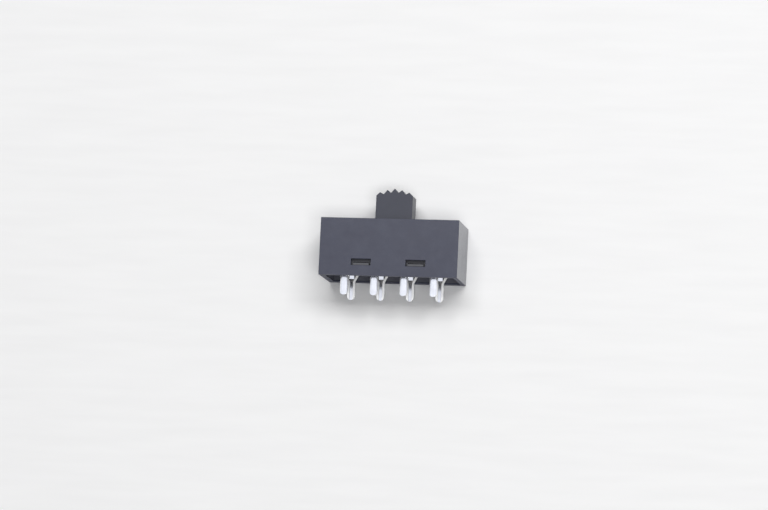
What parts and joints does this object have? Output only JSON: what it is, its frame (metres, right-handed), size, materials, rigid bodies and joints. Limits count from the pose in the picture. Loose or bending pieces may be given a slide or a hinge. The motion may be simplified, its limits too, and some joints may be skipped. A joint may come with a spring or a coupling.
{
  "type": "slide switch",
  "caption": "Slide switch with a dark snap-together case, a toothed knob on top that slides between detents, and rows of folded silvery terminals below.",
  "frame": {"origin": "centre of the case's rear face, the flat face that the switch lies on", "axes": "+X along the slider's travel, +Y the way the knob stands out of the case, +Z out of the front face, up from the surface that it lies on"},
  "size_m": [0.0218, 0.0172, 0.0102],
  "materials": {
    "case_plastic": "fine spark-eroded texture, black with a blue-grey cast",
    "base_plastic": "plain moulded black",
    "knob_plastic": "smooth moulded black with a blue-grey cast",
    "terminal_metal": "bright silver plating over brass sheet",
    "contact_metal": "silver-faced copper alloy",
    "spring_steel": "plain spring steel"
  },
  "bodies": {
    "case": {"housing": "case_plastic", "base": "base_plastic", "terminal_rear_1": "terminal_metal", "terminal_rear_2": "terminal_metal", "terminal_rear_3": "terminal_metal", "terminal_rear_4": "terminal_metal", "terminal_front_1": "terminal_metal", "terminal_front_2": "terminal_metal", "terminal_front_3": "terminal_metal", "terminal_front_4": "terminal_metal"},
    "slider": {"slider": "knob_plastic", "contact_rear": "contact_metal", "contact_front": "contact_metal", "contact_spring_rear_left": "spring_steel", "contact_spring_rear_right": "spring_steel", "contact_spring_front_left": "spring_steel", "contact_spring_front_right": "spring_steel", "detent_leaf_rear": "spring_steel", "detent_leaf_front": "spring_steel"}
  },
  "joints": [
    {"name": "slider_travel", "type": "slide", "parent": "case", "child": "slider", "axis": [1, 0, 0], "range_m": [-0.0047, 0.0047], "deforming": ["detent_leaf_rear", "detent_leaf_front"]}
  ]
}
